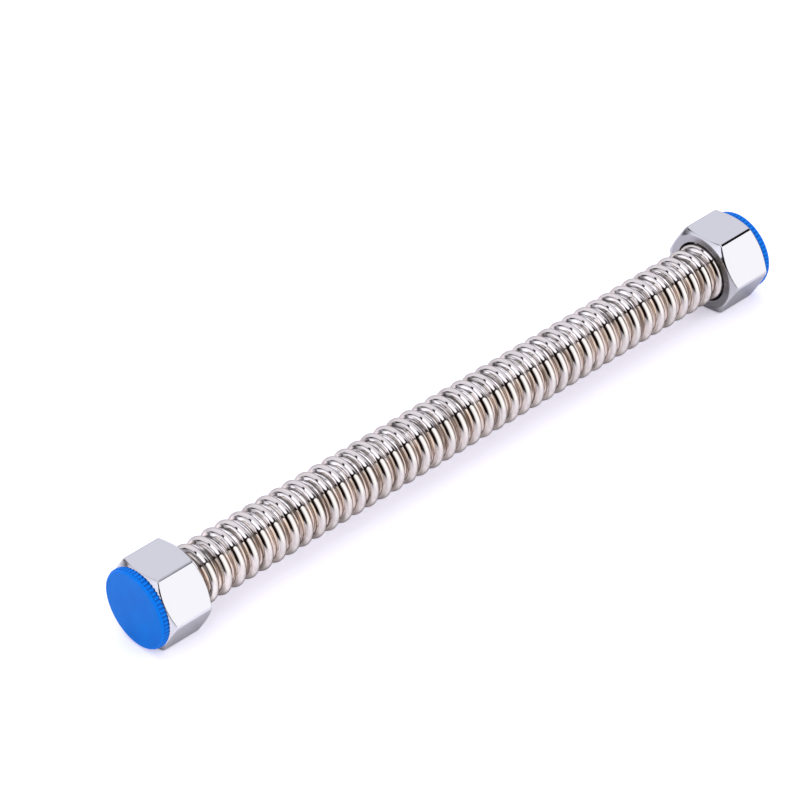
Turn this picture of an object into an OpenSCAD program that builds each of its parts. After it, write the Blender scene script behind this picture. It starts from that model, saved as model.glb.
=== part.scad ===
// Corrugated stainless water hose: one thin tube with ring corrugations and a pressed flange
// at each end, two loose hexagon union nuts, two flat gaskets and two plug-in end caps.
// Units are millimetres. The hose lies along X on the lower flats of its nuts.

/* [Corrugated tube] */
// Number of crests along the tube, the one inside each nut's back hole included
crest_count = 42; // [4:1:80]
// Distance from one crest to the next
crest_pitch = 6; // [5.8:0.1:8]
// Outside diameter over the crests
crest_d = 22; // [20:0.1:30]
// Outside diameter at the bottom of the valleys
valley_d = 16.8; // [14.8:0.1:17.6]
// Thickness of the tube's wall
tube_wall = 0.3; // [0.2:0.05:0.4]
// Outside radius of a crest's rounding
crest_round = 1.9; // [1.5:0.05:1.9]
// Outside radius of a valley's rounding
valley_round = 0.9; // [0.6:0.05:0.9]
// Thickness of the pressed flange, two layers of wall with the fold between them
flange_t = 1; // [0.8:0.05:1.4]
// Rounding where the flange's face turns into the bore
lip_round = 0.4; // [0.1:0.05:0.6]

/* [Union nut] */
// Wall from the tips of the pipe thread to a flat: 2.94 makes 30 across the flats
nut_wall = 2.94; // [2.4:0.02:5]
// Length of the nut
nut_length = 18; // [15:0.5:24]
// Thickness of the nut's back wall, which pulls on the flange
back_wall = 2.6; // [2:0.1:4]
// Height of the pipe thread above its tips
thread_depth = 1.16; // [0.9:0.01:1.3]
// Depth of the plain mouth in front of the thread
mouth_depth = 2.8; // [2.6:0.1:4]
// Width of chamfer that is turned off each end face, inside the flats
end_chamfer = 0.6; // [0.3:0.05:0.8]
// Slope of that chamfer
chamfer_angle = 30; // [20:1:45]
// Height of hexagon corner that is turned off along the nut
corner_cut = 0.27; // [0.1:0.01:0.6]
// Chamfer that breaks the edges of the back hole and the mouth
edge_break = 0.25; // [0.1:0.05:0.3]

/* [Gasket] */
// Thickness of the gasket
gasket_t = 2; // [1.5:0.1:3]
// Hole through the gasket
gasket_hole_d = 16; // [12:0.5:17]

/* [End cap] */
// Thickness of the cap's head
cap_t = 2.8; // [2.4:0.1:5]
// Length of the ribbed part of the head
rib_length = 2; // [1:0.1:2]
// Number of grip ribs round the head
rib_count = 60; // [24:2:72]
// Depth of the grooves between the ribs
groove_depth = 0.35; // [0.2:0.05:0.5]
// Radius of a groove's section
groove_r = 0.55; // [0.5:0.05:0.7]
// Rounding at the edge of the cap's face
face_round = 0.6; // [0.2:0.05:0.8]
// Length of the plug that enters the nut's mouth
plug_length = 2.5; // [1.5:0.1:2.5]
// Wall of the plug
plug_wall = 1.8; // [0.8:0.1:2.4]
// Chamfer that leads the plug into the mouth
plug_lead = 0.4; // [0.1:0.05:0.6]
// Depth of the hollow behind the cap's face
hollow_depth = 1.2; // [0.4:0.1:1.2]

/* [Fits] */
// Gap round the crests in the nut's back hole
hose_gap = 0.5; // [0.3:0.05:0.6]
// How far the flange reaches over the edge of that hole, which holds the nut on the tube
flange_catch = 0.4; // [0.3:0.02:1]
// Gap round the flange where it passes the thread's tips
flange_gap = 0.16; // [0.1:0.02:0.3]
// Travel of the nut along the tube before it pulls on the flange
nut_float = 1.2; // [0.4:0.1:1.2]
// Gap that is left where two faces meet at the end of that travel
seat_gap = 0.1; // [0.05:0.05:0.2]
// Reach of the gasket behind the thread, which traps it in the nut
gasket_catch = 0.44; // [0.2:0.02:0.8]
// Clearance of the recess and the mouth round the thread's full diameter
relief_gap = 0.15; // [0.05:0.05:0.3]
// Gap round the cap's plug in the nut's mouth
plug_gap = 0.05; // [0.02:0.01:0.1]
// How far the cap's rim stays inside the nut's flats
cap_inset = 0.1; // [0.05:0.05:1]

/* [Hidden] */
$fn = 96;

NEAR = -1;
FAR = 1;
cut_margin = 1;

// Tube section: the arc centres and the angle at which a crest's arc meets its flank
crest_centre_r = crest_d / 2 - crest_round;
valley_centre_r = valley_d / 2 + valley_round;
centre_rise = crest_centre_r - valley_centre_r;
centre_gap = norm([crest_pitch / 2, centre_rise]);
flank_turn = asin((crest_round + valley_round) / centre_gap) + atan2(centre_rise, crest_pitch / 2);
tube_bore_r = valley_d / 2 - tube_wall;
crest_steps = 6;
valley_steps = 4;
rim_steps = 6;
lip_steps = 3;

// Places along X, on the far side of the middle
last_crest_x = (crest_count - 1) * crest_pitch / 2;
end_valley_x = last_crest_x + crest_pitch / 2;
flange_back_x = end_valley_x + valley_round;
flange_face_x = flange_back_x + flange_t;
nut_back_x = flange_back_x - back_wall - nut_float - seat_gap;

// The nut is sized outward from the crests: 12.06 at the thread's tips is a G 3/4 thread
back_hole_r = crest_d / 2 + hose_gap;
flange_r = back_hole_r + flange_catch;
thread_r = flange_r + flange_gap;
relief_r = thread_r + thread_depth + relief_gap;
flat_r = thread_r + nut_wall;
axis_z = flat_r;

// Depths inside the nut, counted from its back face
recess_end = back_wall + nut_float + flange_t + gasket_t + 2 * seat_gap;
mouth_start = nut_length - mouth_depth;

// Turned outline of the nut
corner_r = flat_r / cos(30) - corner_cut;
end_face_r = flat_r - end_chamfer;
chamfer_length = (corner_r - end_face_r) * tan(chamfer_angle);

// Cap
cap_r = flat_r - cap_inset;
face_r = cap_r - groove_depth;
plug_r = relief_r - plug_gap;

steel = [0.80, 0.77, 0.75];
chrome = [0.80, 0.80, 0.84];
rubber = [0.10, 0.10, 0.11];
blue = [0.04, 0.42, 0.90];

// Points of an arc about centre [radius, x]. The angle is counted from the radial direction,
// outward for side 1 and inward for side -1.
function arc(centre, r, side, from, to, steps) =
    [for (i = [0:steps])
        let (a = from + (to - from) * i / steps)
            [centre[0] + side * r * cos(a), centre[1] + r * sin(a)]];

function crest_x(k) = k * crest_pitch - last_crest_x;
function crest(k, r) = arc([crest_centre_r, crest_x(k)], r, 1, -flank_turn, flank_turn, crest_steps);
function valley(x, r, from, to) = arc([valley_centre_r, x], r, -1, from, to, valley_steps);
function joined(lists) = [for (list = lists) each list];
function reversed(list) = [for (i = [len(list) - 1:-1:0]) list[i]];

// The corrugations of one face of the wall, from the near end valley to the far one.
// The end valleys run on to the angle end_turn.
function wave(crest_arc_r, valley_arc_r, end_turn) = concat(
    valley(-end_valley_x, valley_arc_r, -end_turn, flank_turn),
    joined([for (k = [0:crest_count - 1])
        k < crest_count - 1
            ? concat(crest(k, crest_arc_r),
                     valley(crest_x(k + 0.5), valley_arc_r, -flank_turn, flank_turn))
            : crest(k, crest_arc_r)]),
    valley(end_valley_x, valley_arc_r, -flank_turn, end_turn));

function flange_rim(side) = arc(
    [flange_r - flange_t / 2, side * (flange_back_x + flange_t / 2)],
    flange_t / 2, 1, -90, 90, rim_steps);

// The rounding between the bore and the flange's face: angle 0 is its end on the bore
function lip(side, from, to) = arc(
    [tube_bore_r + lip_round, side * (flange_face_x - lip_round)],
    lip_round, -1, from, to, lip_steps);

// Turns the revolve axis to X: local Z points away from the middle of the hose
module at_end(side, x) {
    translate([side * x, 0, axis_z])
        rotate([0, side * 90, 0])
            children();
}

module tube() {
    outside = concat(
        lip(NEAR, 0, -90),
        flange_rim(NEAR),
        wave(crest_round, valley_round, 90),
        flange_rim(FAR),
        lip(FAR, 90, 0));
    inside = wave(crest_round - tube_wall, valley_round + tube_wall, 0);
    color(steel)
        at_end(FAR, 0)
            rotate_extrude()
                polygon(concat(outside, reversed(inside)));
}

module hexagon_bar() {
    rotate(30)
        cylinder(r = flat_r / cos(30), h = nut_length, $fn = 6);
}

module turned_outline() {
    rotate_extrude()
        polygon([
            [0, 0], [end_face_r, 0],
            [corner_r, chamfer_length], [corner_r, nut_length - chamfer_length],
            [end_face_r, nut_length], [0, nut_length],
        ]);
}

module nut_bore() {
    rotate_extrude()
        polygon([
            [0, -cut_margin], [back_hole_r + edge_break + cut_margin, -cut_margin],
            [back_hole_r, edge_break],
            [back_hole_r, back_wall], [relief_r, back_wall],
            [relief_r, recess_end], [thread_r, recess_end],
            [thread_r, mouth_start], [relief_r, mouth_start],
            [relief_r, nut_length - edge_break],
            [relief_r + edge_break + cut_margin, nut_length + cut_margin],
            [0, nut_length + cut_margin],
        ]);
}

module union_nut(side) {
    color(chrome)
        at_end(side, nut_back_x)
            difference() {
                intersection() {
                    hexagon_bar();
                    turned_outline();
                }
                nut_bore();
            }
}

module gasket(side) {
    color(rubber)
        at_end(side, flange_face_x)
            linear_extrude(gasket_t)
                difference() {
                    circle(r = thread_r + gasket_catch);
                    circle(d = gasket_hole_d);
                }
}

module grip_ring() {
    linear_extrude(rib_length)
        difference() {
            circle(r = cap_r);
            for (i = [0:rib_count - 1])
                rotate(i * 360 / rib_count)
                    translate([cap_r + groove_r - groove_depth, 0])
                        circle(r = groove_r);
        }
}

// The smooth face stands on the ribs and is no wider than the bottom of their grooves
module cap_face() {
    edge = arc([face_r - face_round, cap_t - face_round], face_round, 1, 0, 90, rim_steps);
    rotate_extrude()
        polygon(concat([[0, 0], [face_r, 0]], edge, [[0, cap_t]]));
}

// The plug runs up through the head to the hollow's depth, so the two are one piece
module plug() {
    rotate_extrude()
        polygon([
            [0, -plug_length], [plug_r - plug_lead, -plug_length],
            [plug_r, plug_lead - plug_length], [plug_r, hollow_depth], [0, hollow_depth],
        ]);
}

module end_cap(side) {
    color(blue)
        at_end(side, nut_back_x + nut_length)
            difference() {
                union() {
                    grip_ring();
                    cap_face();
                    plug();
                }
                translate([0, 0, -plug_length - cut_margin])
                    cylinder(r = plug_r - plug_wall, h = plug_length + cut_margin + hollow_depth);
            }
}

tube();  // corrugated_tube
union_nut(NEAR);  // near_union_nut
union_nut(FAR);  // far_union_nut
gasket(NEAR);  // near_gasket
gasket(FAR);  // far_gasket
end_cap(NEAR);  // near_cap
end_cap(FAR);  // far_cap
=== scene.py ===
# %% [markdown]
# # A corrugated stainless water hose
# Such a hose joins a tap or a heater to the pipe in the wall. A thin steel tube is rolled into
# rings, so that it can be bent by hand, and its end is pressed flat into a flange. A loose
# hexagon nut catches behind each flange and clamps it, with a rubber gasket, on the mating pipe.
# A plastic cap keeps the dirt out until then. The solids and their joints are loaded first, and
# every piece below is made round them, in the same place and at the same size.

# %% Load the solids
import math

import bpy
import numpy as np
from mathutils import Matrix, Vector


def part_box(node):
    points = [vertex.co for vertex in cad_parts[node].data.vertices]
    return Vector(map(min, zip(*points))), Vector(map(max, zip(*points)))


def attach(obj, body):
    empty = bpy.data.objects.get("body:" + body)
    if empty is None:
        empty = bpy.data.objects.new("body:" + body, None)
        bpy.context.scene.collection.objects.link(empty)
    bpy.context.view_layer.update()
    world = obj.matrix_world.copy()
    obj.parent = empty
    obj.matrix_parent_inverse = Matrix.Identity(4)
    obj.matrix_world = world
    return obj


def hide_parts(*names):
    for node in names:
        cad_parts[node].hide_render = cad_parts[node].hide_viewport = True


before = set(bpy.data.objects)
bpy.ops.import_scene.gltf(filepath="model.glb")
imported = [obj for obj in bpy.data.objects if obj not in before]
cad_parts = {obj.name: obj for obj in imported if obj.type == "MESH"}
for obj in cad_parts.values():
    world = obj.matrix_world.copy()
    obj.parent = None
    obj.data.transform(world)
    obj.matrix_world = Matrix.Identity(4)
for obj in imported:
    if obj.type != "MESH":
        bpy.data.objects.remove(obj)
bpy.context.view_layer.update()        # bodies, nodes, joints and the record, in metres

MM = 0.001

# %% [markdown]
# ## The camera
# The hose was photographed from its near left, looking down at 37 degrees, with a long lens from
# about one and a half metres, so its far end is hardly smaller than its near end. The place,
# the turn and the lens were found by fitting the solids' own corners and rings to the picture.
# A camera looks along its own -Z axis, so its matrix holds three directions as columns: right,
# up, and back from the hose to the lens.

# %% Aim the camera
AXIS_Z = 15.0
AZIMUTH, ELEVATION, ROLL = np.radians([-41.275, 37.455, -2.427])
DISTANCE, SHIFT_RIGHT, SHIFT_UP = 1533.45, -17.976, 7.013
FOCAL_PIXELS, PICTURE_PIXELS = 4436.57, 800

back = np.array([math.sin(AZIMUTH) * math.cos(ELEVATION),
                 -math.cos(AZIMUTH) * math.cos(ELEVATION), math.sin(ELEVATION)])
sideways = np.cross([0.0, 0.0, 1.0], back)
sideways /= np.linalg.norm(sideways)
upright = np.cross(back, sideways)
right = sideways * math.cos(ROLL) + upright * math.sin(ROLL)
up = upright * math.cos(ROLL) - sideways * math.sin(ROLL)
eye = np.array([0, 0, AXIS_Z]) + back * DISTANCE + right * SHIFT_RIGHT + up * SHIFT_UP

lens = bpy.data.cameras.new("camera")
lens.sensor_width = 36.0
lens.lens = FOCAL_PIXELS * lens.sensor_width / PICTURE_PIXELS
lens.clip_end = 50.0
camera = bpy.data.objects.new("camera", lens)
bpy.context.scene.collection.objects.link(camera)
facing = Matrix([right, up, back]).transposed().to_4x4()
camera.matrix_world = Matrix.Translation(Vector(eye * MM)) @ facing
bpy.context.scene.camera = camera
print(f"lens {lens.lens:.1f} mm, camera at", np.round(eye, 1).tolist(), "mm")

# %% [markdown]
# ## From a grid of points to a piece
# Everything here is turned on a lathe or rolled, so each surface is a grid: its columns run
# round the hose's axis and its rows follow a section from the axis outwards and back. A section
# that is a closed ring, like the wall of a tube, joins its last row to its first. A section
# that starts and ends on the axis is closed by two fans of triangles. Whole arrays are worked
# out at once, which takes a few milliseconds where a loop over the points would take seconds.

# %% Grids, fans and pieces
def around(along, radius, angles):
    """Points at (along, radius cos(angle), axis height + radius sin(angle)), in metres.

    Rows of the two arrays are rows of the grid, and the angles are its columns.
    """
    along, radius, angles = np.broadcast_arrays(along, radius, angles)
    points = np.stack([along, radius * np.cos(angles), AXIS_Z + radius * np.sin(angles)], -1)
    return points * MM


def grid_faces(rows, columns, closed):
    """Four-sided faces from each grid point to its right and lower neighbours.

    Columns always close round the axis. If closed, the last row joins the first.
    """
    row, column = np.meshgrid(np.arange(rows if closed else rows - 1), np.arange(columns),
                              indexing="ij")
    below, beside = (row + 1) % rows, (column + 1) % columns
    corners = [row * columns + column, row * columns + beside,
               below * columns + beside, below * columns + column]
    return np.stack(corners, -1).reshape(-1, 4)


def fan_faces(centre, first, columns):
    """Triangles from one centre point to the row of points that starts at number first."""
    column = np.arange(columns)
    return np.stack([np.full(columns, centre), first + (column + 1) % columns,
                     first + column], -1)


def make_piece(name, grid, centres, node, body):
    """Make a smooth mesh of a grid, and let it stand for a solid and ride on its body.

    centres holds no points for a ring section, or the two points on the axis that close a
    section from the first and last row. Faces are turned outwards where the volume, a sixth
    of the sum of the triangles' triple products, comes out negative.
    """
    rows, columns = grid.shape[:2]
    points = grid.reshape(-1, 3)
    quads = grid_faces(rows, columns, closed=not centres)
    fans = np.zeros((0, 3), int)
    if centres:
        count = len(points)
        points = np.concatenate([points, centres])
        fans = np.concatenate([fan_faces(count, 0, columns),
                               fan_faces(count + 1, (rows - 1) * columns, columns)[:, ::-1]])
    triangles = np.concatenate([quads[:, [0, 1, 2]], quads[:, [0, 2, 3]], fans])
    corner = points[triangles]
    volume = np.einsum("ij,ij->", corner[:, 0], np.cross(corner[:, 1], corner[:, 2])) / 6
    if volume < 0:
        quads, fans = quads[:, ::-1], fans[:, ::-1]

    mesh = bpy.data.meshes.new(name)
    mesh.from_pydata(points.tolist(), [], quads.tolist() + fans.tolist())
    mesh.polygons.foreach_set("use_smooth", np.ones(len(mesh.polygons), bool))
    mesh.update()
    piece = bpy.data.objects.new(name, mesh)
    bpy.context.scene.collection.objects.link(piece)
    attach(piece, body)
    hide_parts(node)
    low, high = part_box(node)
    size = np.ptp(points, axis=0) / MM
    print(f"{name}: {len(triangles)} triangles, {abs(volume) / MM ** 3:.0f} mm3,",
          np.round(size, 2).tolist(), "mm; its solid", np.round((high - low) / MM, 2).tolist())
    return piece


# %% [markdown]
# ## The corrugated tube
# The real tube starts as a smooth thin pipe, and rollers press one ring after another into it,
# so the rings are closed circles and no screw. It could be made by an array of one ring, or by
# a Screw modifier on a drawn curve. Here the whole wall is one closed section turned round the
# axis, because then the crests, the valleys and the flange are one surface, as in the metal.
# Crests are arcs of 1.9 mm and valleys arcs of 0.9 mm, joined by flanks that are tangent to
# both. The inside follows 0.3 mm behind. No roller is perfect, so each ring stands a few
# hundredths of a millimetre off its place, which breaks up the row of reflections.

# %% The tube's section
CREST_COUNT, PITCH = 42, 6.0
CREST_R, VALLEY_R, WALL = 11.0, 8.4, 0.3
CREST_ROUND, VALLEY_ROUND = 1.9, 0.9
FLANGE_T, FLANGE_R, LIP = 1.0, 11.9, 0.4
BORE_R = VALLEY_R - WALL

crest_centre_r = CREST_R - CREST_ROUND
valley_centre_r = VALLEY_R + VALLEY_ROUND
rise = crest_centre_r - valley_centre_r
flank_turn = (math.asin((CREST_ROUND + VALLEY_ROUND) / math.hypot(PITCH / 2, rise))
              + math.atan2(rise, PITCH / 2))
print(f"a crest's arc turns {math.degrees(flank_turn):.1f} degrees to each side")

last_crest = (CREST_COUNT - 1) * PITCH / 2
end_valley = last_crest + PITCH / 2
flange_back = end_valley + VALLEY_ROUND
flange_face = flange_back + FLANGE_T


def arc(along, centre_r, radius, start, end, count):
    """Points (along + radius sin(a), centre_r + radius cos(a)) for a from start to end.

    A negative radius bulges towards the axis, and then a still runs towards +X.
    """
    turn = np.linspace(start, end, count)
    return np.stack([along + abs(radius) * np.sin(turn), centre_r + radius * np.cos(turn)], -1)


def wave(crest_round, valley_round, counts, end_turn, offsets):
    """One face of the rolled wall, from the near end valley to the far one.

    It is crest, valley, crest, valley and so on. Every crest is the same arc, moved to its own
    place, so the rings are one array: crest number, point on the arc, (along, radius).
    """
    places = PITCH * np.arange(CREST_COUNT) - last_crest
    crest = arc(0, crest_centre_r, crest_round, -flank_turn, flank_turn, counts[0])
    valley = arc(0, valley_centre_r, -valley_round, -flank_turn, flank_turn, counts[1])
    crests = crest + np.stack([places + offsets[:, 0], offsets[:, 1]], -1)[:, None, :]
    valleys = valley + np.stack([places + PITCH / 2, 0 * places], -1)[:, None, :]
    rings = np.concatenate([crests, valleys], axis=1).reshape(-1, 2)[:-counts[1]]
    near = arc(-end_valley, valley_centre_r, -valley_round, -end_turn, flank_turn, counts[1])
    far = arc(end_valley, valley_centre_r, -valley_round, -flank_turn, end_turn, counts[1])
    return np.concatenate([near, rings, far])


def flange(side):
    """The pressed flange from the bore round its rim to its back, for the near end.

    The far end is the same list with its place along the hose turned round.
    """
    lip = arc(-flange_face + LIP, BORE_R + LIP, -LIP, 0, -math.pi / 2, 4)
    face = [[-flange_face, BORE_R + LIP + 0.2], [-flange_face, FLANGE_R - FLANGE_T / 2 - 0.2]]
    rim = arc(-flange_face + FLANGE_T / 2, FLANGE_R - FLANGE_T / 2, FLANGE_T / 2,
              -math.pi / 2, math.pi / 2, 7)
    rows = np.concatenate([lip, face, rim])
    return rows if side < 0 else (rows * [-1, 1])[::-1]


# %% Turn the tube
random = np.random.default_rng(7)
offsets = random.normal(0, [0.05, 0.03], (CREST_COUNT, 2))
offsets[[0, -1]] = 0
outside = wave(CREST_ROUND, VALLEY_ROUND, (8, 6), math.pi / 2, offsets)
inside = wave(CREST_ROUND - WALL, VALLEY_ROUND + WALL, (5, 4), 0.0, offsets)
section = np.concatenate([flange(-1), outside, flange(1), inside[::-1]])

tube_angles = np.linspace(0, 2 * math.pi, 92, endpoint=False)
tube = make_piece("rolled_tube", around(section[:, 0, None], section[:, 1, None], tube_angles),
                  [], "corrugated_tube", "hose")

# %% [markdown]
# ## The union nut
# The nut is cut from hexagon bar. A lathe faces both ends, turns a chamfer of 30 degrees on
# them, bores the nut in steps and cuts the pipe thread, and the edges of the bar are broken.
# The usual way is a boolean of a hexagon and a few cylinders, with a bevel. That gives loose
# triangles round the bore and no thread. Here one grid does it all: its columns lie at chosen
# angles, so that every corner has its narrow land, and its rows run over the end face, the
# chamfer, the flats, the other end, the mouth, the thread, the recess and the back hole. Where
# the chamfer's cone meets a flat, the place along the nut depends on the angle, and that makes
# the curved line that every hexagon nut shows. Two rows close beside each edge keep the faces
# flat and the edge softly rounded.

# %% The nut's sizes and columns
NUT_BACK, NUT_LENGTH = 123.0, 18.0
FLAT_R, CORNER_R, END_FACE_R = 15.0, 17.05, 14.4
CHAMFER_SLOPE = math.tan(math.radians(30))
BACK_HOLE_R, BACK_WALL = 11.5, 2.6
THREAD_R, THREAD_DEPTH, THREAD_PITCH = 12.06, 1.16, 25.4 / 14
RELIEF_R, RECESS_END, MOUTH_START = 13.37, 7.0, 15.2
EDGE_BREAK = 0.25

land = 30 - math.degrees(math.acos(FLAT_R / CORNER_R))
half_side = [0, 0.85 * land, land, land + 0.9]
flat_part = np.linspace(land + 3.6, 60 - land - 3.6, 13)
next_corner = [60 - land - 0.9, 60 - land, 60 - 0.85 * land]
side_angles = np.concatenate([half_side, flat_part, next_corner])
nut_angles = np.radians((side_angles + 60 * np.arange(6)[:, None]).ravel())
outline = np.minimum(FLAT_R / np.cos(np.radians(np.tile(side_angles - 30, 6))), CORNER_R)
print(f"{len(nut_angles)} columns, corners cut {2 * land:.1f} degrees wide")


# %% The thread
def thread_radius(along, angle, side):
    """Radius of the internal thread at a place along the nut and an angle round it.

    A screw is a groove whose phase is along / pitch - angle / one turn. Its flanks are
    straight, and tips and roots are rounded, as on a pipe thread. Seen along its own nut each
    thread is right-handed, so the near nut, which points the other way, counts the angle
    backwards. A chamfer of 45 degrees leads in from both ends.
    """
    phase = along / THREAD_PITCH - side * angle / (2 * math.pi)
    ramp = np.abs(2 * (phase % 1) - 1)
    height = np.clip((ramp - 0.5) * 1.3 + 0.5, 0, 1)
    height = height * height * (3 - 2 * height) * 0.5 + height * 0.5
    lead_in = RELIEF_R - np.minimum(along - RECESS_END, MOUTH_START - along)
    return np.maximum(THREAD_R + THREAD_DEPTH * height, lead_in)


# %% The nut's rows
def nut_rows(side):
    """Rows (along, radius) of the nut, counted from its back face, each over all columns."""
    cone = outline - END_FACE_R
    crease = cone * CHAMFER_SLOPE
    end = [(EDGE_BREAK, BACK_HOLE_R), (0, BACK_HOLE_R + EDGE_BREAK),
           (0, BACK_HOLE_R + EDGE_BREAK + 0.15)]
    rim = [(0, 13.2), (0, END_FACE_R - 0.2), (0.01, END_FACE_R - 0.03)]
    slope = [(share * crease, END_FACE_R + share * cone) for share in (0.1, 0.3, 0.6, 0.88)]
    edge = [(crease + 0.08, outline), (crease + 0.3, outline)]
    half = rim + slope + edge
    front = [(NUT_LENGTH - along, radius) for along, radius in half[::-1]]
    middle = [(NUT_LENGTH * share, outline) for share in (0.35, 0.5, 0.65)]
    mouth = [(NUT_LENGTH, RELIEF_R + EDGE_BREAK + 0.1), (NUT_LENGTH, RELIEF_R + EDGE_BREAK),
             (NUT_LENGTH - EDGE_BREAK, RELIEF_R), (NUT_LENGTH - EDGE_BREAK - 0.2, RELIEF_R),
             (MOUTH_START + 0.2, RELIEF_R)]
    screw = [(along, thread_radius(along, nut_angles, side))
             for along in np.linspace(MOUTH_START, RECESS_END, 70)]
    recess = [(RECESS_END - 0.2, RELIEF_R), (BACK_WALL + 0.3, RELIEF_R),
              (BACK_WALL + 0.05, RELIEF_R - 0.05), (BACK_WALL, RELIEF_R - 0.3),
              (BACK_WALL, BACK_HOLE_R + 0.3), (BACK_WALL - 0.05, BACK_HOLE_R + 0.05),
              (BACK_WALL - 0.3, BACK_HOLE_R), (EDGE_BREAK + 0.2, BACK_HOLE_R)]
    rows = end + half + middle + front + mouth + screw + recess
    along = np.array([np.broadcast_to(row[0], nut_angles.shape) for row in rows])
    radius = np.array([np.broadcast_to(row[1], nut_angles.shape) for row in rows])
    return along, radius


# %% Both nuts
nuts = {}
for end, side in (("near", -1), ("far", 1)):
    along, radius = nut_rows(side)
    nuts[end] = make_piece(f"{end}_hexagon_nut",
                           around(side * (NUT_BACK + along), radius, nut_angles),
                           [], f"{end}_union_nut", f"{end}_nut")

# %% [markdown]
# ## The gasket
# A flat ring punched from rubber sheet. The punch draws the edge in a little, so the section
# is a rectangle with rounded corners, and turning that round the axis is all it takes.

# %% Both gaskets
GASKET_T, GASKET_HOLE_R, GASKET_R, SOFT = 2.0, 8.0, 12.5, 0.15


def gasket_section(side):
    """A rectangle with rounded corners, as rows (along, radius)."""
    start, stop = flange_face, flange_face + GASKET_T
    outer = [arc(start + SOFT, GASKET_R - SOFT, SOFT, -math.pi / 2, 0, 4),
             arc(stop - SOFT, GASKET_R - SOFT, SOFT, 0, math.pi / 2, 4)]
    inner = [arc(stop - SOFT, GASKET_HOLE_R + SOFT, -SOFT, math.pi / 2, 0, 4),
             arc(start + SOFT, GASKET_HOLE_R + SOFT, -SOFT, 0, -math.pi / 2, 4)]
    return np.concatenate(outer + inner) * [side, 1]


gaskets = {}
for end, side in (("near", -1), ("far", 1)):
    section = gasket_section(side)
    grid = around(section[:, 0, None], section[:, 1, None], tube_angles)
    gaskets[end] = make_piece(f"{end}_rubber_ring", grid, [], f"{end}_gasket", f"{end}_seal")

# %% [markdown]
# ## The end cap
# The cap is moulded in soft plastic: a thin plug that enters the nut's mouth, and a head with
# sixty grip ribs. The ribs could be an array of small cutters. In a grid they are only a rule
# for the radius: every column knows its angle to the nearest groove, and a groove is a round
# cut of its own small radius. The rows carry that outline from the back of the head up to the
# rounded edge, where it fades into the plain face, so that the ribs run out as they do in a
# mould. Both ends of the section lie on the axis and are closed by fans.

# %% The cap's outline and rows
CAP_FRONT, CAP_R, CAP_T = NUT_BACK + NUT_LENGTH, 14.9, 2.8
RIBS, GROOVE_DEPTH, GROOVE_R = 60, 0.35, 0.55
PLUG_R, PLUG_LENGTH, PLUG_WALL, PLUG_LEAD, HOLLOW = 13.32, 2.5, 1.8, 0.4, 1.2
FACE_R, FACE_ROUND = CAP_R - GROOVE_DEPTH, 0.6

groove_half = 1.957     # degrees from the middle of a groove to its edge
rib_angles = np.array([-3, -2.25, -groove_half, -1.4, -0.7, 0, 0.7, 1.4, groove_half, 2.25])
cap_angles = np.radians((rib_angles + 360 / RIBS * np.arange(RIBS)[:, None]).ravel())
from_groove = np.radians(np.tile(rib_angles, RIBS))
groove_centre = CAP_R + GROOVE_R - GROOVE_DEPTH
cut = GROOVE_R ** 2 - (groove_centre * np.sin(from_groove)) ** 2
ribbed = groove_centre * np.cos(from_groove) - np.sqrt(np.clip(cut, 0, None))
ribbed = np.where(np.abs(from_groove) < math.radians(groove_half), ribbed, CAP_R)
ribbed = np.clip(ribbed, FACE_R + 0.03, CAP_R)
print(f"{len(cap_angles)} columns, grooves {CAP_R - ribbed.min():.2f} mm deep")


def cap_rows():
    """Rows (along, radius) of the cap, counted from the nut's front face, over all columns."""
    def between(share):
        return FACE_R + share * (ribbed - FACE_R)
    face = [(CAP_T, radius) for radius in (2, 5, 8, 10.5, 12.5, FACE_R - FACE_ROUND - 0.25)]
    turn = np.linspace(0, math.pi / 2, 7)
    edge = [(CAP_T - FACE_ROUND * (1 - math.cos(a)), FACE_R - FACE_ROUND * (1 - math.sin(a)))
            for a in turn]
    ribs = [(2.06, between(0.15)), (2.0, between(0.45)), (1.93, between(0.75)),
            (1.8, between(0.94)), (1.6, between(1)), (0.9, between(1)), (0.2, between(1)),
            (0.05, between(1) - 0.04), (0, between(1) - 0.2)]
    plug = [(0, PLUG_R + 0.2), (0, PLUG_R + 0.02), (-0.1, PLUG_R), (-1.2, PLUG_R),
            (PLUG_LEAD - PLUG_LENGTH + 0.1, PLUG_R),
            (PLUG_LEAD - PLUG_LENGTH, PLUG_R - 0.02), (-PLUG_LENGTH + 0.02, PLUG_R - PLUG_LEAD),
            (-PLUG_LENGTH, PLUG_R - PLUG_LEAD - 0.1)]
    bore = PLUG_R - PLUG_WALL
    hollow = [(-PLUG_LENGTH, bore + 0.2), (-PLUG_LENGTH + 0.2, bore), (0, bore),
              (HOLLOW - 0.3, bore), (HOLLOW - 0.08, bore - 0.08), (HOLLOW, bore - 0.3),
              (HOLLOW, 8), (HOLLOW, 4)]
    rows = face + edge + ribs + plug + hollow
    along = np.array([np.broadcast_to(row[0], cap_angles.shape) for row in rows])
    radius = np.array([np.broadcast_to(row[1], cap_angles.shape) for row in rows])
    return along, radius


# %% Both caps
caps = {}
for end, side in (("near", -1), ("far", 1)):
    along, radius = cap_rows()
    centres = [[side * (CAP_FRONT + t) * MM, 0, AXIS_Z * MM] for t in (CAP_T, HOLLOW)]
    caps[end] = make_piece(f"{end}_ribbed_cap",
                           around(side * (CAP_FRONT + along), radius, cap_angles),
                           centres, f"{end}_cap", f"{end}_plug")

# %% [markdown]
# ## The hose's route
# The tube is stiff and lies straight, held by both nuts, and is seen whole. Its route is a row
# of places along its axis, and its length runs between the flanges' faces.

route_x = np.linspace(-flange_face, flange_face, 33)
2 * flange_face * MM
print(f"the hose is {2 * flange_face:.1f} mm long between its flanges' faces")

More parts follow.
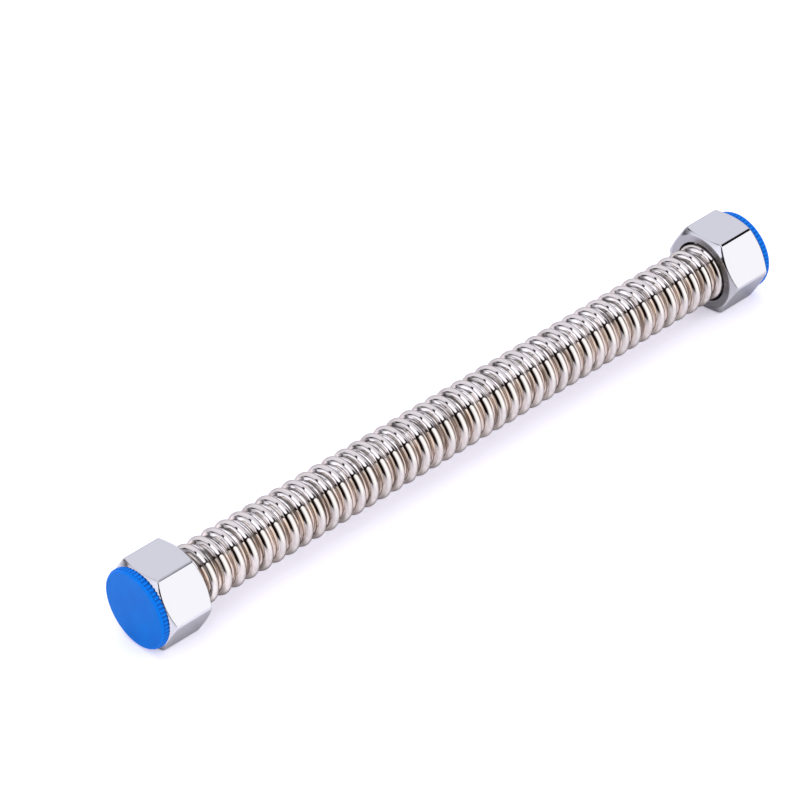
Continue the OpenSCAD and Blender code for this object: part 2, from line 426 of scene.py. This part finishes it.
# %% [markdown]
# ## Writing shaders as sums
# A material is a small program: it reads a place on the object and works out a colour, a
# roughness or a height. Wiring Math nodes by hand hides that sum. The class below wraps one
# output socket and lets Python's own operators add the Math nodes, so that a mask reads like a
# formula. Its method node() adds any other kind of node, with its settings set first.

# %% Sockets that can be added and multiplied
class Field:
    """One output socket of a node tree, or only the tree where socket is None."""

    def __init__(self, tree, socket=None):
        self.tree, self.socket = tree, socket

    def node(self, kind, settings=None, inputs=None, output=0):
        """Add a node, set its settings and then its sockets, and return one output."""
        made = self.tree.nodes.new(kind)
        for name, value in (settings or {}).items():
            setattr(made, name, value)
        for name, value in (inputs or {}).items():
            if isinstance(value, Field):
                self.tree.links.new(value.socket, made.inputs[name])
            else:
                made.inputs[name].default_value = value
        return Field(self.tree, made.outputs[output] if made.outputs else None)

    def other(self, name):
        """Another output of the same node."""
        return Field(self.tree, self.socket.node.outputs[name])

    def maths(self, operation, *values, clamp=False):
        """A Math node on the given values or fields."""
        return self.node("ShaderNodeMath", {"operation": operation, "use_clamp": clamp},
                         dict(enumerate(values)))

    def __add__(self, value):
        return self.maths("ADD", self, value)

    def __radd__(self, value):
        return self.maths("ADD", value, self)

    def __sub__(self, value):
        return self.maths("SUBTRACT", self, value)

    def __rsub__(self, value):
        return self.maths("SUBTRACT", value, self)

    def __mul__(self, value):
        return self.maths("MULTIPLY", self, value)

    def __rmul__(self, value):
        return self.maths("MULTIPLY", value, self)

    def __truediv__(self, value):
        return self.maths("DIVIDE", self, value)

    def absolute(self):
        return self.maths("ABSOLUTE", self)

    def root(self):
        return self.maths("SQRT", self)

    def sine(self):
        return self.maths("SINE", self)

    def degrees(self):
        return self.maths("DEGREES", self)

    def larger(self, value):
        return self.maths("MAXIMUM", self, value)

    def smaller(self, value):
        return self.maths("MINIMUM", self, value)

    def between(self, low, high):
        """0 up to low, 1 from high, and straight between them."""
        return self.maths("MULTIPLY", self - low, 1 / (high - low), clamp=True)

    def blend(self, first, second):
        """The first colour where this field is 0 and the second where it is 1."""
        return self.node("ShaderNodeMix", {"data_type": "RGBA"}, {0: self, 6: first, 7: second},
                         output=2)


def new_material(name):
    """An empty material and the field that adds nodes to it."""
    material = bpy.data.materials.new(name)
    material.use_nodes = True
    material.node_tree.nodes.clear()
    return material, Field(material.node_tree)


def finish_material(material, start, inputs):
    """The Principled shader with these inputs, joined to the material's output."""
    surface = start.node("ShaderNodeBsdfPrincipled", inputs=inputs)
    start.node("ShaderNodeOutputMaterial", inputs={"Surface": surface})
    print(f"{material.name}: {len(material.node_tree.nodes)} nodes")


def place_on_hose(start):
    """Object coordinates, the place along the hose and the distance from its axis, in mm."""
    place = start.node("ShaderNodeTexCoord", output="Object")
    along = place.node("ShaderNodeSeparateXYZ", inputs={"Vector": place})
    across, height = along.other("Y"), along.other("Z") - AXIS_Z * MM
    radius = (across * across + height * height).root()
    return place, along / MM, radius / MM


def height_over_axis(place):
    """How far a place lies above the hose's axis, in mm."""
    parts = place.node("ShaderNodeSeparateXYZ", inputs={"Vector": place})
    return parts.other("Z") / MM - AXIS_Z


def grain(place, scale, stretch=(1, 1, 1), detail=3.0, roughness=0.5):
    """Noise from 0 to 1 with about scale bumps in a metre, stretched along the axes."""
    spread = place.node("ShaderNodeMapping", inputs={"Vector": place, "Scale": stretch})
    return place.node("ShaderNodeTexNoise",
                      inputs={"Vector": spread, "Scale": scale, "Detail": detail,
                              "Roughness": roughness})


def relief(height, millimetres, strength=1.0):
    """A bumped normal: the field's steps from 0 to 1 stand for this height."""
    return height.node("ShaderNodeBump", inputs={"Height": height, "Strength": strength,
                                                 "Distance": millimetres * MM}, output="Normal")


# %% [markdown]
# ## Stainless steel, rolled
# The tube is bright annealed steel. The rollers polish the crests, which stay smooth and pale.
# They hardly reach the valleys, so these are duller and scored round and round. A dark line of
# painted shade runs along the foot of every flank. On the top of the hose the valleys are
# painted white between their scores, a painted highlight, and on the hose's sides they are
# painted straw and darker, as painted shade. The distance from the axis decides between crest
# and valley, the height over the axis between top and side, and a noise that is squeezed along
# the hose and long round it draws the scores.

# %% The tube's steel
rolled_steel, start = new_material("rolled_stainless_steel")
place, along, radius = place_on_hose(start)
height = radius.between(VALLEY_R, CREST_R - 0.2)
in_valley = 1 - height.between(0.05, 0.50)
on_top = (height_over_axis(place) / radius).between(0.62, 0.92)
# A line of painted shade along the foot of every flank.
painted_flank_shade = 0.85 - 0.85 * (height - 0.30).absolute().between(0.02, 0.09)
streak = grain(place, 60, stretch=(40, 1, 1), detail=4)
line = grain(place, 75, stretch=(22, 1, 1), detail=2)
scored = line.between(0.43, 0.50)
patch = grain(place, 55, detail=2)
crest_colour = patch.blend((0.64, 0.60, 0.555, 1), (0.69, 0.65, 0.605, 1))
# The valleys get a painted highlight on the top of the hose and painted shade on its sides.
lit_top_valley_colour = scored.blend((0.15, 0.14, 0.13, 1), (1.0, 0.97, 0.93, 1))
shaded_side_valley_colour = scored.blend((0.22, 0.155, 0.115, 1), (0.77, 0.635, 0.545, 1))
steel_colour = height.blend(on_top.blend(shaded_side_valley_colour, lit_top_valley_colour), crest_colour)
steel_colour = painted_flank_shade.blend(steel_colour, (0.10, 0.07, 0.06, 1))
steel_rough = 0.05 + in_valley * (0.29 - 0.12 * on_top) + streak * 0.03
finish_material(rolled_steel, start, {
    "Base Color": steel_colour, "Metallic": 1.0, "Roughness": steel_rough,
    "Specular Tint": (0.45, 0.43, 0.42, 1),
    "Normal": relief(streak + (1 - height) * line * 2, 0.018)})
tube.data.materials.append(rolled_steel)

# %% [markdown]
# ## Chrome, on brass that was turned
# The flats are polished before plating, so they mirror the room with a slight ripple. The end
# faces and the bores come straight off the lathe, and their fine rings stay under the chrome
# and make them duller. The same faces and bores are also painted darker and greyer, as painted
# shade. The chamfers are cut almost smooth and get a tenth of both. A sine of the distance from
# the axis draws those rings, and the place along the hose says where the end faces are.

# %% The nuts' chrome
FEED = 0.22             # mm that the lathe's tool moves on in one turn
chrome, start = new_material("bright_chrome_plate")
place, along, radius = place_on_hose(start)
from_middle = along.absolute()
on_back = 1 - from_middle.between(NUT_BACK + 0.02, NUT_BACK + 0.12)
on_front = from_middle.between(NUT_BACK + NUT_LENGTH - 0.12, NUT_BACK + NUT_LENGTH - 0.02)
inside_nut = 1 - radius.between(RELIEF_R + 0.1, RELIEF_R + 0.25)
from_end = NUT_LENGTH / 2 - (from_middle - NUT_BACK - NUT_LENGTH / 2).absolute()
on_chamfer = 1 - (from_end - (radius - END_FACE_R) * CHAMFER_SLOPE).between(0.02, 0.08)
# Turned faces and bores: rougher from the lathe, and painted darker as painted shade.
turned_and_shaded = (on_back + on_front + inside_nut + on_chamfer * 0.1).smaller(1.0)
smudge = grain(place, 90, detail=3, roughness=0.6)
ripple = grain(place, 110, detail=1)
feed = grain(place, 130, detail=2)
rings = (radius * (2 * math.pi / FEED) + feed * 2).sine()
plate_colour = turned_and_shaded.blend((0.55, 0.55, 0.555, 1), (0.36, 0.355, 0.365, 1))
plate_rough = 0.05 + smudge * 0.06 + turned_and_shaded * 0.16
bumps = ripple * 0.5 + turned_and_shaded * rings * 0.10
finish_material(chrome, start, {
    "Base Color": plate_colour, "Metallic": 1.0, "Roughness": plate_rough,
    "Specular Tint": (0.6, 0.6, 0.62, 1),
    "Normal": relief(bumps, 0.05)})
for nut in nuts.values():
    nut.data.materials.append(chrome)

# %% [markdown]
# ## Moulded plastic and rubber
# The caps are polyethylene, blue right through. The mould's face is spark-eroded, which gives a
# very fine grain and a satin shine, and the plastic flows in from the middle, which leaves
# faint lighter and darker clouds. The rubber of the gaskets is black, matt and a little dusty.

# %% The caps' plastic
blue_plastic, start = new_material("blue_moulded_plastic")
place, along, radius = place_on_hose(start)
cloud = grain(place, 120, detail=4, roughness=0.6)
pits = grain(place, 2600, detail=2)
# The rim is painted lighter than the face, a painted highlight, and darker in its grooves,
# painted shade.
on_rim = radius.between(FACE_R - FACE_ROUND - 0.3, FACE_R - 0.05)
face_blue = cloud.between(0.3, 0.7).blend((0.0, 0.155, 0.63, 1), (0.0, 0.19, 0.70, 1))
on_ribs = 1 - along.absolute().between(CAP_FRONT + 1.95, CAP_FRONT + 2.15)
painted_groove_shade = (1 - radius.between(CAP_R - 0.4, CAP_R - 0.02)) * on_ribs
rim_highlight_and_shade_blue = painted_groove_shade.blend((0.0, 0.20, 0.80, 1), (0.0, 0.10, 0.46, 1))
cap_colour = on_rim.blend(face_blue, rim_highlight_and_shade_blue)
finish_material(blue_plastic, start, {
    "Base Color": cap_colour, "Roughness": 0.42 + pits * 0.16, "IOR": 1.51,
    "Specular IOR Level": 0.09, "Normal": relief(pits, 0.012)})
for cap in caps.values():
    cap.data.materials.append(blue_plastic)

# %% The gaskets' rubber
black_rubber, start = new_material("black_gasket_rubber")
place = start.node("ShaderNodeTexCoord", output="Object")
dust = grain(place, 400, detail=4, roughness=0.65)
pores = grain(place, 3000, detail=2)
rubber_colour = dust.between(0.45, 0.8).blend((0.022, 0.022, 0.024, 1), (0.075, 0.074, 0.072, 1))
finish_material(black_rubber, start, {
    "Base Color": rubber_colour, "Roughness": 0.62 + dust * 0.2, "IOR": 1.52,
    "Normal": relief(pores, 0.02)})
for gasket in gaskets.values():
    gasket.data.materials.append(black_rubber)

# %% [markdown]
# ## The room
# Polished metal shows nothing but its surroundings, so the room is the most important part of
# its look. A white panel stands in front of the hose and a wider one hangs above and behind it.
# The gap between them is dark, and draws the black line along the nuts' upper corners and
# across the top of every ring. It widens towards the near end of the room, where the front
# panel stops too, and this gives each ring its long black wedge. The upper panel holds three
# dark things, a spot, a post and an arm, and they make the dots and thin arcs above the wedges.
#
# An image of a room would do, but a formula is easier to tune. It works on two angles of a
# ray's direction. The lean is its angle towards the hose's far end, from -90 to 90 degrees. The
# turn is its angle round the hose: 0 is the horizon in front, 90 straight up and 180 the
# horizon behind. Every ring is round about the same axis, so all of them show the room alike.

# %% Two angles of a ray
room = bpy.data.worlds.new("soft_panels")
room.use_nodes = True
room.node_tree.nodes.clear()
bpy.context.scene.world = room
start = Field(room.node_tree)
direction = start.node("ShaderNodeTexCoord", output="Generated")
x = direction.node("ShaderNodeSeparateXYZ", inputs={"Vector": direction})
y, z = x.other("Y"), x.other("Z")
lean = x.maths("ARCSINE", x).degrees()
turn = z.maths("ARCTAN2", z, -1 * y).degrees()

# %% The gap and the front panel
near_side = ((-22 - lean) * 0.9).larger(0).smaller(21) * lean.between(-84, -66)
far_side = (lean - 17).larger(0)
gap_foot = 57.5 - 0.12 * (10 - lean).larger(0)
gap_top = 62.3 + near_side + far_side.smaller(19) + 0.1 * (lean - 37).larger(0)
gap_edge = 1.2 + 0.42 * near_side + 0.1 * far_side
below_gap = 1 - (turn - gap_foot).between(-1.2, 0.6)
above_gap = ((turn - gap_top) / gap_edge).between(-1, 1).larger(0.13 * lean.between(40, 52))
front = 0.68 * lean.between(-32, -11) + 0.32 * lean.between(-11, 18)
front = front * (1 - 0.48 * lean.between(38, 74))

# %% The upper panel, with a spot, a post and an arm
overhead = (1 - lean.between(12, 22)) * (1 - turn.between(104, 108))
near_panel = 0.4 * (1 - lean.between(-42, -36)) + 0.4 * (1 - lean.between(-76, -68))
behind = turn.between(115, 130) * lean.between(-5, 15)
lean_part, turn_part = (lean + 14) / 20, (turn - 110) / 7
spot = 1 - (lean_part * lean_part + turn_part * turn_part).root().between(0.75, 1.15)
post_half = 5 + 2 * turn.between(148, 164)
post = 1 - ((lean + 27).absolute() - post_half).between(-1.2, 1.2)
post = (post * turn.between(112, 118) * (1 - turn.between(173, 184))
        * (0.82 + 0.14 * turn.between(145, 158)))
arm = (1 - ((lean + 40).absolute() - 7).between(-2, 2)) * (1 - turn.between(108, 114)) * 0.85
in_shade = spot.larger(post).larger(arm)
above = (1.05 + 0.57 * overhead.larger(near_panel) + 0.12 * behind) * (1 - in_shade) * above_gap

# %% Both panels, and a white room for the camera
ends = 1 - 0.4 * lean.between(74, 82)
brightness = (below_gap * front * 1.67 + (1 - below_gap) * above) * ends
panel = below_gap.blend((2.0, 1.99, 2.26, 1), (2.0, 1.985, 2.09, 1))
light = brightness.between(0, 2).blend((0.008, 0.004, 0.003, 1), panel)
seen = start.node("ShaderNodeLightPath", output="Is Camera Ray")
background = start.node("ShaderNodeBackground", inputs={
    "Color": seen.blend(light, (1, 1, 1, 1)), "Strength": 1.0})
start.node("ShaderNodeOutputWorld", inputs={"Surface": background})
print(f"{room.name}: {len(room.node_tree.nodes)} nodes")

# %% [markdown]
# ## The table and the lamp
# The table is pale and matt. For the camera it also glows a little, so that it comes out white
# and still keeps the hose's soft shadow. Metal sees the table from close by, and there it
# matters that hardly any light gets under the hose. So for mirrored rays the glow starts a few
# millimetres beside the hose. It is stronger beside the near nut and behind the hose, and
# weaker again farther in front. At grazing angles a pale table mirrors the room, which a
# Fresnel sheen adds. One soft lamp from the near left gives the caps their light and the shadow
# its direction.

# %% The table
TABLE, TABLE_GLOW = 6.0, 0.36
table_mesh = bpy.data.meshes.new("table")
table_corners = [[x * TABLE, y * TABLE, -0.0002] for x, y in ((-1, -1), (1, -1), (1, 1), (-1, 1))]
table_mesh.from_pydata(table_corners, [], [[0, 1, 2, 3]])
table = bpy.data.objects.new("table", table_mesh)
bpy.context.scene.collection.objects.link(table)

table_paint, start = new_material("pale_table")
paths = start.node("ShaderNodeLightPath", output="Is Camera Ray")
mirrored = paths.other("Is Glossy Ray")
place = start.node("ShaderNodeTexCoord", output="Object")
parts = place.node("ShaderNodeSeparateXYZ", inputs={"Vector": place})
along, across = parts / MM, parts.other("Y") / MM
beside = (TABLE_GLOW + 0.32 * (1 - along.between(-120, -100))) * across.absolute().between(7, 14)
mirror_glow = 0.03 + beside + 0.16 * across.between(14, 30) - 0.10 * (-1 * across).between(14, 50)
seen = (paths * TABLE_GLOW + mirrored * mirror_glow
        + paths.other("Is Transmission Ray") * TABLE_GLOW)
sheen = (start.node("ShaderNodeFresnel", inputs={"IOR": 1.6}) * 1.8).smaller(1.0) * mirrored
matt = start.node("ShaderNodeBsdfDiffuse", inputs={"Color": (0.85, 0.845, 0.89, 1)})
glow = start.node("ShaderNodeEmission", inputs={"Color": (1, 0.97, 1.10, 1), "Strength": seen})
pale = start.node("ShaderNodeAddShader", inputs={0: matt, 1: glow})
gloss = start.node("ShaderNodeBsdfAnisotropic", inputs={"Color": (1, 1, 1, 1), "Roughness": 0.1})
both = start.node("ShaderNodeMixShader", inputs={0: sheen, 1: pale, 2: gloss})
start.node("ShaderNodeOutputMaterial", inputs={"Surface": both})
table_mesh.materials.append(table_paint)

# %% A soft lamp
lamp_data = bpy.data.lights.new("soft_lamp", "AREA")
lamp_data.shape = "DISK"
lamp_data.size = 0.8
lamp_data.energy = 3.5
lamp = bpy.data.objects.new("soft_lamp", lamp_data)
bpy.context.scene.collection.objects.link(lamp)
lamp_place = Vector((-1.1, -0.5, 0.8))
lamp.location = lamp_place
lamp.rotation_euler = lamp_place.to_track_quat("Z", "Y").to_euler()
lamp.visible_glossy = False
bpy.context.scene.view_settings.view_transform = "Standard"
